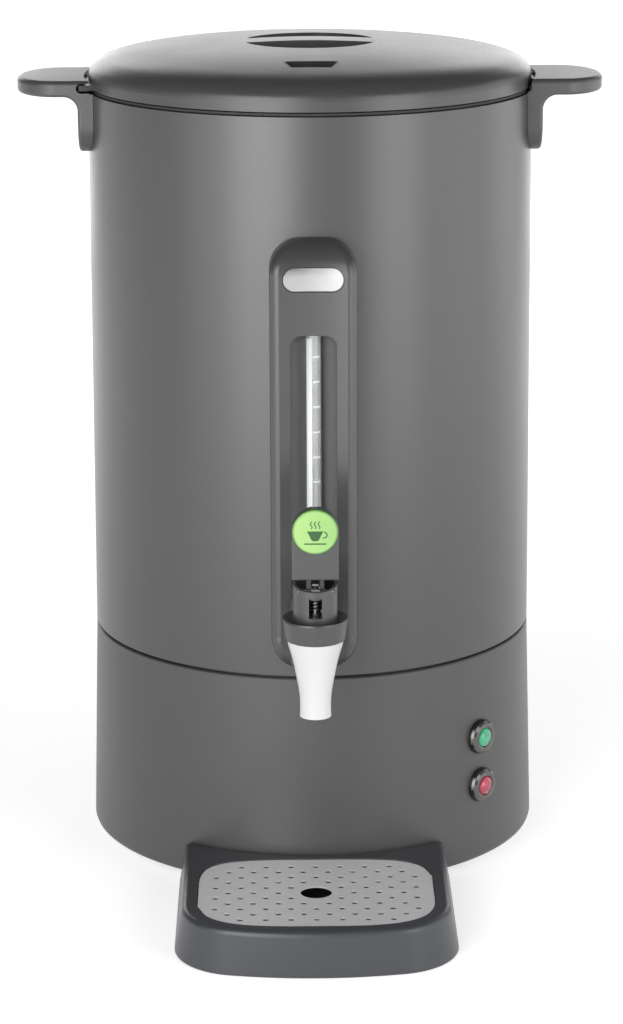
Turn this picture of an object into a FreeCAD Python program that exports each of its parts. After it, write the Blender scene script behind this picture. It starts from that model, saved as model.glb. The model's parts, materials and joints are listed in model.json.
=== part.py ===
import FreeCAD
import Part
import math
import os

V = FreeCAD.Vector
os.makedirs("parts", exist_ok=True)

# Coffee urn. Millimetres, +Z up, the floor at z = 0, the front looks to -Y.
# Every piece is drawn about the axis of the body, and save() then moves it back by origin_back.
# Driving dimensions.
body_r = 135.0            # painted shell, outer radius at the lid seam
shell_flare = 1.35        # the shell is this much wider in radius at its lower end
base_flare = 3.6          # the base is this much wider in radius at its foot than at the shell
foot_clear = 6.7          # base wall above the floor
base_top = 136.95         # upper edge of the base at the seam
seam = 1.9                # height of the dark seam above the base
body_top = 471.6          # upper edge of the painted shell
shell_wall = 1.0
tank_gap = 13.0           # shell outside to tank outside, at the top
tank_wall = 1.0
tank_floor = 152.0        # underside of the tank floor
lid_rise = 27.5           # lid crown above the seam
tap_reach = 65.5          # tap axis in front of the shell
tap_z = 189.0             # axis of the tap shank
column_w = 50.4           # front column, width
column_out = 22.0         # front column, how far it stands off the shell
column_low = 143.8
column_high = 403.0
tray_w = 165.6            # drip tray, width on the floor
tray_front = 264.1        # front of the tray from the urn axis, on the floor
tray_h = 27.5
handle_tip = 177.8        # handle end from the urn axis
handle_half = 36.0        # half of the handle's width along Y
shell_r_low = body_r + shell_flare
base_r_low = shell_r_low + base_flare
origin_back = (tray_front - base_r_low) / 2


def cyl(r, z0, z1, x=0.0, y=0.0):
    return Part.makeCylinder(r, z1 - z0, V(x, y, z0))


def ring(ro, ri, z0, z1, x=0.0, y=0.0):
    return cyl(ro, z0, z1, x, y).cut(cyl(ri, z0 - 1, z1 + 1, x, y))


def rod_y(r, y0, y1, x, z):
    return Part.makeCylinder(r, y1 - y0, V(x, y0, z), V(0, 1, 0))


def rod_x(r, x0, x1, y, z):
    return Part.makeCylinder(r, x1 - x0, V(x0, y, z), V(1, 0, 0))


def box(x0, x1, y0, y1, z0, z1):
    return Part.makeBox(x1 - x0, y1 - y0, z1 - z0, V(x0, y0, z0))


def spin(points, x=0.0, y=0.0):
    # solid of revolution from (radius, z) corners
    wire = Part.makePolygon([V(p[0], 0, p[1]) for p in points + [points[0]]])
    solid = Part.Face(wire).revolve(V(0, 0, 0), V(0, 0, 1), 360)
    solid.translate(V(x, y, 0))
    return solid


def turned(solid, degrees, x=0.0, y=0.0):
    copy = solid.copy()
    copy.rotate(V(x, y, 0), V(0, 0, 1), degrees)
    return copy


def sector(ro, ri, z0, z1, a0, a1):
    # slice of a ring between two angles, in degrees from +X
    wire = Part.makePolygon([V(ri, 0, z0), V(ro, 0, z0), V(ro, 0, z1), V(ri, 0, z1), V(ri, 0, z0)])
    solid = Part.Face(wire).revolve(V(0, 0, 0), V(0, 0, 1), a1 - a0)
    return turned(solid, a0)


def soften(solid, radius, wanted):
    # rounds the edges that wanted() picks
    edges = [e for e in solid.Edges if wanted(e)]
    if not edges:
        return solid
    try:
        rounded = solid.makeFillet(radius, edges)
        if rounded.isValid() and rounded.Volume > 0.5 * solid.Volume:
            return rounded
    except Exception:
        pass
    return solid


def spin_x(points, z):
    # solid of revolution about the X direction at height z, from (x, radius) corners
    wire = Part.makePolygon([V(p[0], 0, z + p[1]) for p in points + [points[0]]])
    return Part.Face(wire).revolve(V(0, 0, z), V(1, 0, 0), 360)


def hexagon(flats, z0, z1, x=0.0, y=0.0):
    r = flats / math.sqrt(3.0)
    corners = [V(x + r * math.cos(math.radians(60 * i)), y + r * math.sin(math.radians(60 * i)), z0) for i in range(7)]
    return Part.Face(Part.makePolygon(corners)).extrude(V(0, 0, z1 - z0))


def lying(solid, x, y, z):
    # turns a solid built about +Z at the origin so that its axis runs along +Y from the point
    copy = solid.copy()
    copy.rotate(V(0, 0, 0), V(1, 0, 0), -90)
    copy.translate(V(x, y, z))
    return copy


def at_z(edge, z):
    b = edge.BoundBox
    return abs(b.ZMin - z) < 0.01 and abs(b.ZMax - z) < 0.01


def plate_shape(w, d, r, z0, z1, x=0.0, y=0.0):
    # rectangular plate with round corners
    solid = box(x - w / 2, x + w / 2, y - d / 2, y + d / 2, z0, z1)
    upright = [e for e in solid.Edges if abs(e.BoundBox.ZLength - (z1 - z0)) < 0.01]
    return solid.makeFillet(r, upright)


def pill_y(w, h, y0, y1, x, z):
    # upright plate with round ends, its thickness along Y
    r = h / 2
    mid = box(x - w / 2 + r, x + w / 2 - r, y0, y1, z - r, z + r)
    return mid.fuse([rod_y(r, y0, y1, x - w / 2 + r, z), rod_y(r, y0, y1, x + w / 2 - r, z)]).removeSplitter()


def merge(first, others):
    return first.fuse(others).removeSplitter()


def save(name, solid):
    if solid.ShapeType != "Compound" and len(solid.Solids) == 1:
        solid = solid.Solids[0]
    elif len(solid.Solids) > 1:
        solid = Part.makeCompound(solid.Solids)
    else:
        solid = solid.Solids[0]
    solid = solid.copy()
    solid.translate(V(0, origin_back, 0))
    solid.exportStep("parts/" + name + ".step")


# Shell, tank and base

shell_low = base_top + seam
lid_low = body_top + 1.0 + 1.8
tank_ro = body_r - tank_gap
tank_ri = tank_ro - tank_wall
tank_top = body_top - 0.2
lip_r = shell_r_low - 4.8
tap_y = -(body_r + tap_reach)
shank_r = 9.0
column_face = body_r + column_out
sight_y = -(body_r + 13.0)
sight_r = 4.4


def shell_r(z):
    return body_r + shell_flare * (body_top - z) / (body_top - shell_low)


shell_solid = spin([(shell_r_low, shell_low), (body_r, body_top), (0.0, body_top), (0.0, shell_low)])
shell = spin([
    (shell_r_low, shell_low),
    (body_r, body_top),
    (body_r - shell_wall, body_top),
    (shell_r_low - shell_wall, shell_low + shell_wall),
    (lip_r, shell_low + shell_wall),
    (lip_r, shell_low),
])
shank_hole = rod_y(shank_r + 0.3, -column_face - 20, -tank_ri + 30, 0, tap_z)
screw_turn = 11.0
screw_z = body_top - 24.0
screw_tools = []
for turn in (180 - screw_turn, 180 + screw_turn, -screw_turn, screw_turn):
    hole = rod_x(2.7, body_r - 12, body_r + 10, 0, screw_z)
    screw_tools.append(turned(hole, turn))
column_screw_z = (column_low + 18.0, column_high - 21.0)
for z in column_screw_z:
    screw_tools.append(rod_y(2.2, -body_r - 12, -body_r + 12, 0, z))
shell = shell.cut([shank_hole] + screw_tools)
save("outer_shell", shell)

tank_outer = cyl(tank_ro, tank_floor, tank_top)
tank_outer = soften(tank_outer, 6.0, lambda e: at_z(e, tank_floor))
tank_inner = cyl(tank_ri, tank_floor + tank_wall, tank_top + 5)
tank_inner = soften(tank_inner, 5.0, lambda e: at_z(e, tank_floor + tank_wall))
well_r = 31.0
well_drop = 5.0
flange_ro = body_r - shell_wall - 0.1
tank_rim = ring(flange_ro, tank_ri, tank_top - 1.0, tank_top)
tank = merge(tank_outer, [tank_rim, cyl(well_r + 1, tank_floor - well_drop, tank_floor + 0.5)])
tank = tank.cut([tank_inner, cyl(well_r, tank_floor - well_drop + 1.0, tank_floor + 2.0), shank_hole])
save("inner_tank", tank)

base_r_top = shell_r_low
base_wall = 3.0
deck_z = base_top - 3.5
deck_ri = body_r - 33.0
spigot_ri = lip_r - 3.4


def base_r(z):
    return base_r_low + (base_r_top - base_r_low) * (z - foot_clear) / (base_top - foot_clear)


base = spin([
    (base_r_low - 2.0, foot_clear),
    (base_r_low - 0.6, foot_clear + 0.6),
    (base_r_low, foot_clear + 2.4),
    (base_r_top, base_top - 0.7),
    (base_r_top - 0.7, base_top),
    (lip_r + 1.0, base_top),
    (lip_r + 1.0, shell_low),
    (lip_r - 0.1, shell_low),
    (lip_r - 0.1, shell_low + 7.5),
    (spigot_ri, shell_low + 7.5),
    (spigot_ri, base_top),
    (deck_ri, base_top),
    (deck_ri, deck_z),
    (base_r_top - base_wall, deck_z),
    (base_r_low - base_wall, foot_clear),
])
cover_z = foot_clear + 2.3
cover_t = 1.2
post_r = body_r - 15.0
post_turns = (30, 150, 210, 330)
stud_r = body_r - 24.5
stud_turns = (60, 180, 300)
posts = [turned(cyl(6.0, cover_z + cover_t, deck_z, post_r, 0), t) for t in post_turns]
rear_z = 60.0
rear_y = base_r(rear_z) - 6.7
panel_half = 46.0
panel = box(-panel_half, panel_half, rear_y - 3.0, rear_y, rear_z - 28, rear_z + 28)
panel_top = box(-panel_half, panel_half, rear_y - 3.0, base_r_low, rear_z + 25, rear_z + 28)
panel_low = box(-panel_half, panel_half, rear_y - 3.0, base_r_low, rear_z - 28, rear_z - 25)
rim_keep = spin([(0.0, foot_clear), (base_r_low - 0.5, foot_clear), (base_r_top - 0.5, base_top), (0.0, base_top)])
rear_box = merge(panel, [panel_top, panel_low]).common(rim_keep)
base = merge(base, posts + [rear_box])
base = base.cut(box(-panel_half - 20, panel_half + 20, rear_y, base_r_low + 10, rear_z - 25, rear_z + 25))
lamp_turn = -42.4
lamp_zs = (85.3, 54.3)
lamp_holes = []
for z in lamp_zs:
    lamp_holes.append(turned(rod_x(7.0, body_r - 20, body_r + 20, 0, z), lamp_turn))
stud_holes = [turned(cyl(2.7, deck_z - 2, base_top + 2, stud_r, 0), t) for t in stud_turns]
post_bores = [turned(cyl(1.5, cover_z, cover_z + 20, post_r, 0), t) for t in post_turns]
inlet_x = -18.0
rocker_x = 25.0
inlet_w = 27.0
inlet_h = 20.0
inlet_hole = box(inlet_x - inlet_w / 2, inlet_x + inlet_w / 2, rear_y - 10, rear_y + 10, rear_z - inlet_h / 2, rear_z + inlet_h / 2)
rocker_hole = box(rocker_x - 6.5, rocker_x + 6.5, rear_y - 10, rear_y + 10, rear_z - 9.5, rear_z + 9.5)
base = base.cut(lamp_holes + stud_holes + post_bores + [inlet_hole, rocker_hole])
save("base_housing", base)

cover = cyl(base_r_low - base_wall - 0.3, cover_z, cover_z + cover_t)
vents = []
for i in range(5):
    y = (i - 2) * 12.0
    vents.append(box(-28, 28, y - 2, y + 2, cover_z - 1, cover_z + cover_t + 1))
cover_holes = [turned(cyl(2.0, cover_z - 1, cover_z + 3, post_r, 0), t) for t in post_turns]
cover = cover.cut(vents + cover_holes)
save("bottom_cover", cover)

screws = []
for t in post_turns:
    head = cyl(3.6, cover_z - 2.2, cover_z, post_r, 0)
    screws.append(turned(merge(head, [cyl(1.5, cover_z - 0.5, cover_z + 15, post_r, 0)]), t))
save("cover_screws", Part.makeCompound(screws))

foot_r = body_r - 23.0
feet = []
for t in (45, 135, 225, 315):
    foot = soften(cyl(11.0, 0, cover_z, foot_r, 0), 1.2, lambda e: at_z(e, 0))
    feet.append(turned(foot, t))
save("rubber_feet", Part.makeCompound(feet))

# The tank stands on three studs under its floor

studs = []
spacers = []
nuts = []
for t in stud_turns:
    studs.append(turned(cyl(2.5, deck_z - 6.0, tank_floor, stud_r, 0), t))
    spacers.append(turned(ring(5.0, 2.5, base_top, tank_floor, stud_r, 0), t))
    nut = hexagon(8.0, deck_z - 4.0, deck_z, stud_r, 0).cut(cyl(2.5, deck_z - 5, deck_z + 1, stud_r, 0))
    nuts.append(turned(nut, t))
save("tank_studs", Part.makeCompound(studs))
save("stud_spacers", Part.makeCompound(spacers))
save("stud_nuts", Part.makeCompound(nuts))

# Heater and its controls under the tank floor

spreader_t = 3.0
spreader_z = tank_floor - spreader_t
spreader = ring(90.0, well_r + 2.0, spreader_z, tank_floor)
save("heat_spreader", spreader)

heat_r = 70.0
heat_tube = 4.0
heat_z = spreader_z - heat_tube
heat_start = 115.0
heat_sweep = 310.0
heat_circle = Part.Wire(Part.makeCircle(heat_tube, V(heat_r, 0, heat_z), V(0, 1, 0)))
heat_ring = turned(Part.Face(heat_circle).revolve(V(0, 0, 0), V(0, 0, 1), heat_sweep), heat_start)
heat_ends = []
heat_pins = []
for t in (heat_start, heat_start + heat_sweep):
    heat_ends.append(turned(cyl(heat_tube, heat_z - 24, heat_z, heat_r, 0), t))
    heat_ends.append(turned(Part.makeSphere(heat_tube, V(heat_r, 0, heat_z)), t))
    heat_pins.append(turned(cyl(1.6, heat_z - 34, heat_z - 24, heat_r, 0), t))
heater = merge(heat_ring, heat_ends)
save("heating_element", heater)
save("element_pins", Part.makeCompound(heat_pins))

well_low = tank_floor - well_drop
thermostat = merge(cyl(11.0, well_low - 9, well_low), [
    box(-9, -6.5, -0.4, 0.4, well_low - 17, well_low - 8),
    box(6.5, 9, -0.4, 0.4, well_low - 17, well_low - 8),
])
save("thermostat", thermostat)
cutout_x = -50.0
cutout = merge(cyl(8.0, spreader_z - 8, spreader_z, cutout_x, 0), [
    box(cutout_x - 0.4, cutout_x + 0.4, -6.5, -4, spreader_z - 15, spreader_z - 7),
    box(cutout_x - 0.4, cutout_x + 0.4, 4, 6.5, spreader_z - 15, spreader_z - 7),
])
save("thermal_cutout", cutout)

wire_r = 1.4
block_z = cover_z + cover_t
block_y = 66.0
block = box(-24, 24, block_y, block_y + 18, block_z, block_z + 16)
for i in range(4):
    x = (i - 1.5) * 11.5
    block = block.cut(cyl(3.0, block_z + 9, block_z + 17, x, block_y + 9))
    block = block.cut(rod_y(wire_r + 0.4, block_y - 1, block_y + 19, x, block_z + 6))
save("terminal_block", block)

# Appliance inlet and rocker switch in the flat at the back

socket = merge(
    box(inlet_x - 15.5, inlet_x + 15.5, rear_y, rear_y + 2.0, rear_z - 12, rear_z + 12),
    [box(inlet_x - inlet_w / 2, inlet_x + inlet_w / 2, rear_y - 21, rear_y + 1, rear_z - inlet_h / 2, rear_z + inlet_h / 2)],
)
socket_bore = box(inlet_x - 12, inlet_x + 12, rear_y - 15, rear_y + 3, rear_z - 8, rear_z + 8)
bore_low = [e for e in socket_bore.Edges if e.BoundBox.YLength > 17 and e.BoundBox.ZMax < rear_z]
socket_bore = socket_bore.makeFillet(5.0, bore_low)
socket = socket.cut(socket_bore)
pins = []
for dx, dz in ((-7.0, -1.5), (0.0, 2.5), (7.0, -1.5)):
    pins.append(box(inlet_x + dx - 1, inlet_x + dx + 1, rear_y - 27, rear_y - 1.5, rear_z + dz - 2, rear_z + dz + 2))
socket = socket.cut(pins)
save("power_inlet", socket)
save("inlet_pins", Part.makeCompound(pins))

switch = merge(
    box(rocker_x - 8, rocker_x + 8, rear_y, rear_y + 1.6, rear_z - 11, rear_z + 11),
    [box(rocker_x - 6.5, rocker_x + 6.5, rear_y - 16, rear_y + 1, rear_z - 9.5, rear_z + 9.5)],
)
switch = switch.cut(box(rocker_x - 5.6, rocker_x + 5.6, rear_y - 8, rear_y + 3, rear_z - 8.6, rear_z + 8.6))
rocker_y = rear_y - 1.5
switch = switch.cut(rod_x(1.05, rocker_x - 6.2, rocker_x + 6.2, rocker_y, rear_z))
for dz in (-5.0, 5.0):
    switch = merge(switch, [box(rocker_x - 2.5, rocker_x + 2.5, rear_y - 24, rear_y - 15, rear_z + dz - 0.4, rear_z + dz + 0.4)])
save("switch_housing", switch)
rocker_wire = Part.makePolygon([
    V(rocker_x - 5.2, rocker_y + 3.4, rear_z),
    V(rocker_x - 5.2, rocker_y + 4.6, rear_z + 7.6),
    V(rocker_x - 5.2, rocker_y - 1.5, rear_z + 7.0),
    V(rocker_x - 5.2, rocker_y - 4.5, rear_z),
    V(rocker_x - 5.2, rocker_y - 1.5, rear_z - 7.0),
    V(rocker_x - 5.2, rocker_y + 4.6, rear_z - 7.6),
    V(rocker_x - 5.2, rocker_y + 3.4, rear_z),
])
rocker = Part.Face(rocker_wire).extrude(V(10.4, 0, 0))
rocker = merge(rocker, [rod_x(1.0, rocker_x - 6.1, rocker_x + 6.1, rocker_y, rear_z)])
save("power_rocker", rocker)

# Indicator lamps

lamp_fit = 0.1             # clearance of the lamp parts on the sloping wall
base_outer = spin([
    (0.0, foot_clear), (base_r_low + lamp_fit, foot_clear), (base_r_top + lamp_fit, base_top), (0.0, base_top),
])
bezels = []
lamp_nuts = []
lenses = []
for z in lamp_zs:
    r0 = base_r(z)
    bezel = spin_x([
        (r0 - 16.0, 5.6), (r0 - 16.0, 6.9), (r0 - 0.7, 6.9), (r0 - 0.7, 10.8), (r0 + 1.6, 10.8), (r0 + 3.2, 10.2),
        (r0 + 4.4, 8.9), (r0 + 4.8, 7.4), (r0 + 4.4, 6.2), (r0 + 0.5, 6.2), (r0 + 0.5, 5.6),
    ], z)
    keep_out = turned(base_outer, -lamp_turn).cut(rod_x(6.95, r0 - 30, r0 + 10, 0, z))
    bezels.append(turned(bezel.cut(keep_out), lamp_turn))
    lens = spin_x([(r0 + 0.5, 0.0), (r0 + 0.5, 6.2), (r0 + 3.6, 6.2), (r0 + 4.9, 5.2), (r0 + 6.0, 3.3), (r0 + 6.5, 0.0)], z)
    lenses.append(turned(lens, lamp_turn))
    inside = r0 - base_wall - 0.6
    nut = spin_x([(inside - 3.0, 6.9), (inside - 3.0, 9.5), (inside, 9.5), (inside, 6.9)], z)
    collar = spin_x([(inside - 0.1, 6.9), (inside - 0.1, 9.0), (inside + 3, 9.0), (inside + 3, 6.9)], z)
    inner = base_wall + lamp_fit
    wall = base_outer.cut(spin([
        (0.0, foot_clear - 1), (base_r_low - inner, foot_clear - 1), (base_r_top - inner, base_top + 1), (0.0, base_top + 1),
    ]))
    nut = merge(nut, [collar]).cut(turned(wall, -lamp_turn))
    lamp_nuts.append(turned(nut.Solids[0], lamp_turn))
lamp_cores = [turned(rod_x(5.6, base_r(z) - 20.0, base_r(z) + 0.5, 0, z), lamp_turn) for z in lamp_zs]
save("lamp_bezels", Part.makeCompound(bezels))
save("lamp_cores", Part.makeCompound(lamp_cores))
save("lamp_lens_green", lenses[0])
save("lamp_lens_red", lenses[1])
save("lamp_nuts", Part.makeCompound(lamp_nuts))

# Side handles: a flat tongue on a leg that follows the shell

shelf_low = body_top - 1.3
shelf_top = shelf_low + 9.6
leg_low = body_top - 36.0
leg_out = body_r + 4.6
shelf_ri = body_r + 2.2
crook_r = 8.6
tip_depth = 25.0
leg_round = 18.0
pad_ro = body_r + 1.8
screw_end = body_r + 5.4
crook_mid = crook_r * (1 - math.sin(math.radians(45)))
side_edges = [
    Part.LineSegment(V(0, 0, leg_low), V(leg_out, 0, leg_low)).toShape(),
    Part.LineSegment(V(leg_out, 0, leg_low), V(leg_out, 0, shelf_low - crook_r)).toShape(),
    Part.Arc(
        V(leg_out, 0, shelf_low - crook_r), V(leg_out + crook_mid, 0, shelf_low - crook_mid), V(leg_out + crook_r, 0, shelf_low),
    ).toShape(),
    Part.LineSegment(V(leg_out + crook_r, 0, shelf_low), V(handle_tip + 5, 0, shelf_low)).toShape(),
    Part.LineSegment(V(handle_tip + 5, 0, shelf_low), V(handle_tip + 5, 0, shelf_top)).toShape(),
    Part.LineSegment(V(handle_tip + 5, 0, shelf_top), V(0, 0, shelf_top)).toShape(),
    Part.LineSegment(V(0, 0, shelf_top), V(0, 0, leg_low)).toShape(),
]
handle_side = Part.Face(Part.Wire(side_edges)).extrude(V(0, 2 * handle_half + 10, 0))
handle_side.translate(V(0, -handle_half - 5, 0))
tip_x = handle_tip - tip_depth
tip = Part.Ellipse(V(tip_x, handle_half, 0), V(handle_tip, 0, 0), V(tip_x, 0, 0))
plan_edges = [
    Part.LineSegment(V(0, handle_half, 0), V(tip_x, handle_half, 0)).toShape(),
    Part.ArcOfEllipse(tip, 0, math.pi).toShape(),
    Part.LineSegment(V(tip_x, -handle_half, 0), V(0, -handle_half, 0)).toShape(),
    Part.LineSegment(V(0, -handle_half, 0), V(0, handle_half, 0)).toShape(),
]
handle_plan = Part.Face(Part.Wire(plan_edges)).extrude(V(0, 0, 80))
handle_plan.translate(V(0, 0, leg_low - 10))


def leg_outline(inset):
    # side view of the leg: its lower corners are round
    w = handle_half - inset
    r = leg_round - inset
    low = leg_low + inset
    return merge(box(0, 300, -w, w, low + r, shelf_top + 1), [
        box(0, 300, -w + r, w - r, low, low + r + 2),
        rod_x(r, 0, 300, -w + r, low + r),
        rod_x(r, 0, 300, w - r, low + r),
    ])


touch = 0.05
shell_room = spin([
    (0.0, shell_low), (shell_r_low + touch, shell_low), (body_r + touch, body_top), (body_r + touch, body_top + 0.6), (0.0, body_top + 0.6),
])
handle = handle_side.common(handle_plan).common(leg_outline(0.0))
handle = handle.cut(shell_room).cut(cyl(shelf_ri, body_top + 0.5, shelf_top + 5))
handle = soften(handle, 3.2, lambda e: at_z(e, shelf_top) and e.BoundBox.XMax > shelf_ri + 8)
handle = soften(handle, 2.0, lambda e: at_z(e, shelf_low) and e.BoundBox.XMax > leg_out + 14)
slot_z = body_top + 3.9
slot_h = 2.9
slot_ro = body_r + 6.8
slot_cut = sector(slot_ro, body_r - 6, slot_z - slot_h, slot_z + slot_h, -5.0, 17.0)
slot_end = Part.Wire(Part.makeCircle(slot_h, V(slot_ro, 0, slot_z), V(0, 1, 0)))
slot_round = Part.Face(slot_end).revolve(V(0, 0, 0), V(0, 0, 1), 22.0)
slot_cut = merge(slot_cut, [turned(slot_round, -5.0)])
handle = handle.cut(slot_cut)
pad_turn = 13.0
pad_low = leg_low + 5.0
pad_top = body_top - 8.0
pad_room = sector(pad_ro + touch, body_r - 3, pad_low - touch, pad_top + touch, -pad_turn - 0.1, pad_turn + 0.1)
handle = handle.cut(pad_room.common(leg_outline(4.0)))
bores = []
for turn in (-screw_turn, screw_turn):
    bores.append(turned(rod_x(2.5, body_r - 2, screw_end + 0.2, 0, screw_z), turn))
handle = handle.cut(bores)
handle_right = handle
handle_left = turned(handle, 180)
save("handle_left", handle_left)
save("handle_right", handle_right)

pad = sector(pad_ro, body_r - 3, pad_low, pad_top, -pad_turn, pad_turn).cut(shell_room).common(leg_outline(4.0 + touch))
pad = pad.cut([turned(rod_x(2.7, 100, 200, 0, screw_z), t) for t in (-screw_turn, screw_turn)])
save("handle_pads", Part.makeCompound([pad, turned(pad, 180)]))

handle_screws = []
for turn in (180 - screw_turn, 180 + screw_turn, -screw_turn, screw_turn):
    inner = shell_r(screw_z) - shell_wall
    screw = merge(rod_x(4.6, inner - 2.9, inner - 0.1, 0, screw_z), [rod_x(2.5, inner - 1.0, screw_end - 0.2, 0, screw_z)])
    handle_screws.append(turned(screw, turn))
save("handle_screws", Part.makeCompound(handle_screws))

# Front column with the sight tube in a rounded trough

half_w = column_w / 2
face_dip = 1.3
top_corner = 18.0         # front view: radius of the two upper corners
side_round = 5.5          # level cut: radius between face and flanks
lean_high = 20.0          # height over which the upper end leans back
lean_low = 19.0           # the same at the lower end
lean_depth = column_out + 1.0


def column_section(z, inset):
    # level cut through the column: flat flanks, round corners and a face that is slightly hollow
    over = z - (column_high - top_corner)
    under = column_low + half_w - z
    w = half_w - inset
    if over > 0:
        r = top_corner - inset
        w = w - r + math.sqrt(max(r ** 2 - over ** 2, 0.0))
    if under > 0:
        w = math.sqrt(max(w ** 2 - under ** 2, 0.0))
    lean = max((z - column_high + lean_high) / (lean_high - inset), (column_low + lean_low - z) / (lean_low - inset), 0.0)
    f = -(column_face - inset) + lean_depth * (1 - math.sqrt(max(1 - lean ** 2, 0.0)))
    c = min(side_round - 0.5 * inset, 0.7 * w)
    m = c * (1 - math.cos(math.radians(45)))
    dip = face_dip * (w / half_w) ** 2
    back = -body_r + 22
    return Part.Wire([
        Part.LineSegment(V(-w, back, z), V(-w, f + c, z)).toShape(),
        Part.Arc(V(-w, f + c, z), V(-w + m, f + m, z), V(-w + c, f, z)).toShape(),
        Part.Arc(V(-w + c, f, z), V(0, f + dip, z), V(w - c, f, z)).toShape(),
        Part.Arc(V(w - c, f, z), V(w - m, f + m, z), V(w, f + c, z)).toShape(),
        Part.LineSegment(V(w, f + c, z), V(w, back, z)).toShape(),
        Part.LineSegment(V(w, back, z), V(-w, back, z)).toShape(),
    ])


def column_form(inset):
    # straight middle with a soft end above and below
    low_mid = column_low + half_w
    high_mid = column_high - lean_high
    middle = Part.Face(column_section(low_mid, inset)).extrude(V(0, 0, high_mid - low_mid))
    turns = [math.radians(t) for t in (0, 20, 40, 60, 78, 88)]
    rise = lean_high - inset
    upper = [column_section(high_mid + rise * math.sin(t), inset) for t in turns]
    fall = half_w - inset
    lower = [column_section(low_mid - fall * math.sin(t), inset) for t in turns[:-1]]
    ends = [Part.makeLoft(sections, True, False, False, 3) for sections in (upper, lower)]
    return merge(middle, ends)


trough_r = 13.5
trough_round = 6.0        # front view: radius of the trough's upper corners
trough_y = -column_face + 1.0
trough_top = body_top - 122.2
trough_low = tap_z + 10.0
boss_top = body_top - 103.0
column_wall = 2.8
column_outer = column_form(0.0)
column_body = column_outer.cut(shell_solid)
inner_body = column_form(column_wall)


def round_trough(grow):
    post = cyl(trough_r + grow, trough_low - grow, trough_top + grow, 0, trough_y)
    return soften(post, trough_round + grow, lambda e: at_z(e, trough_top + grow))


trough = round_trough(0.0)
hollow = inner_body.cut(round_trough(2.4))
bosses = [cyl(8.6, trough_top - 3, boss_top, 0, sight_y)]
for z in column_screw_z:
    bosses.append(rod_y(4.0, -column_face + 2.0, -body_r + 30, 0, z))
hollow = hollow.cut(bosses)
column = column_body.cut(hollow).cut(trough)
fitting_room = rod_y(13.4, -column_face + 3.0, -body_r + 10, 0, tap_z)
flange_seat = rod_y(14.3, -column_face - 5, -column_face + 3.0, 0, tap_z)
tower_r = 7.9
tower_top = tap_z + 20.0
tower_room = cyl(tower_r + 0.4, tap_z, tower_top + 0.4, 0, sight_y)
column = column.cut([fitting_room, flange_seat, tower_room])
seal_r = 5.8
tube_top = boss_top - 6.0
upper_bore = cyl(seal_r, trough_top - 3, tube_top + 0.5, 0, sight_y)
column = column.cut([upper_bore, cyl(1.0, tube_top, boss_top - 2, 0, sight_y)])
for z in column_screw_z:
    column = column.cut(rod_y(1.6, -column_face + 5.0, -body_r + 10, 0, z))
badge_z = column_high - 21.1
badge_w = 34.4
badge_h = 13.1
badge_back = column_form(1.3)
badge_pocket = pill_y(badge_w + 1.4, badge_h + 1.4, -column_face - 3, -column_face + 8, 0, badge_z)
column = column.cut(badge_pocket.cut(badge_back))
column = max(column.Solids, key=lambda s: s.Volume)


def trough_rim(edge):
    box_of = edge.BoundBox
    return (
        abs(abs(box_of.XMin) - trough_r) < 0.4 and box_of.XLength < 0.2 and box_of.ZLength > 60
        and box_of.YMax < -column_face + 2
    )


column = soften(column, 0.8, trough_rim)
save("front_column", column)
badge = pill_y(badge_w, badge_h, -column_face - 3, -column_face + 8, 0, badge_z)
badge = badge.common(column_form(0.4)).cut(badge_back)
save("badge_plate", badge)

column_screws = []
for z in column_screw_z:
    inner = shell_r(z) - shell_wall
    head = rod_y(3.8, -inner + 0.05, -inner + 2.6, 0, z)
    column_screws.append(merge(head, [rod_y(1.6, -column_face + 6.5, -inner + 1, 0, z)]))
save("column_screws", Part.makeCompound(column_screws))

# Sight tube and its fitting on the tap shank

fit_front = -column_face + 3.0
fit_back = -body_r - 4.4
fitting = merge(rod_y(13.0, fit_front, fit_back, 0, tap_z), [cyl(tower_r, tap_z, tower_top, 0, sight_y)])
fitting = fitting.cut([
    rod_y(shank_r + touch, fit_front - 1, fit_back + 1, 0, tap_z),
    cyl(2.5, tap_z, tower_top, 0, sight_y),
    cyl(seal_r, tap_z + 11, tower_top + 1, 0, sight_y),
    rod_y(14.3, fit_front - 5, fit_front, 0, tap_z),
])
save("sight_fitting", fitting)
tube_low = tap_z + 12.0
tube = ring(sight_r, sight_r - 1.1, tube_low, tube_top, 0, sight_y)
save("sight_tube", tube)
seal_low = ring(seal_r, sight_r, tap_z + 11.5, tower_top - 0.4, 0, sight_y)
seal_high = ring(seal_r, sight_r, tube_top - 11, tube_top, 0, sight_y)
save("sight_seals", Part.makeCompound([seal_low, seal_high]))

# Tap body: shank, collar with a cup for the bonnet, and the valve chamber

collar_top = tap_z + 6.2
collar_low = tap_z - 6.5
barrel_r = 12.7
hub_r = 10.4
cup_floor = collar_top - 5.2
dish_rim = 18.3
collar = spin([
    (0.0, collar_low), (17.0, collar_low), (17.4, collar_low + 0.6), (19.0, collar_top - 1.0), (18.6, collar_top),
    (dish_rim, collar_top), (barrel_r + 0.3, collar_top - 3.6), (barrel_r + 0.3, cup_floor), (hub_r, cup_floor),
    (hub_r, collar_top + 0.8), (0.0, collar_top + 0.8),
], 0, tap_y)
dish = spin([
    (0.0, cup_floor), (barrel_r + 0.3, cup_floor), (barrel_r + 0.3, collar_top - 3.6), (dish_rim, collar_top),
    (dish_rim, collar_top + 5.0), (0.0, collar_top + 5.0),
], 0, tap_y)
spigot_low = collar_low - 8.5
spigot_r = 12.0
spigot = cyl(spigot_r, spigot_low, collar_low + 0.5, 0, tap_y)
thread_end = -tank_ri + 12.0
seat_z = tap_z - 5.0
chamber_r = 7.6
shank = rod_y(shank_r, -column_face, thread_end, 0, tap_z)
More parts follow.
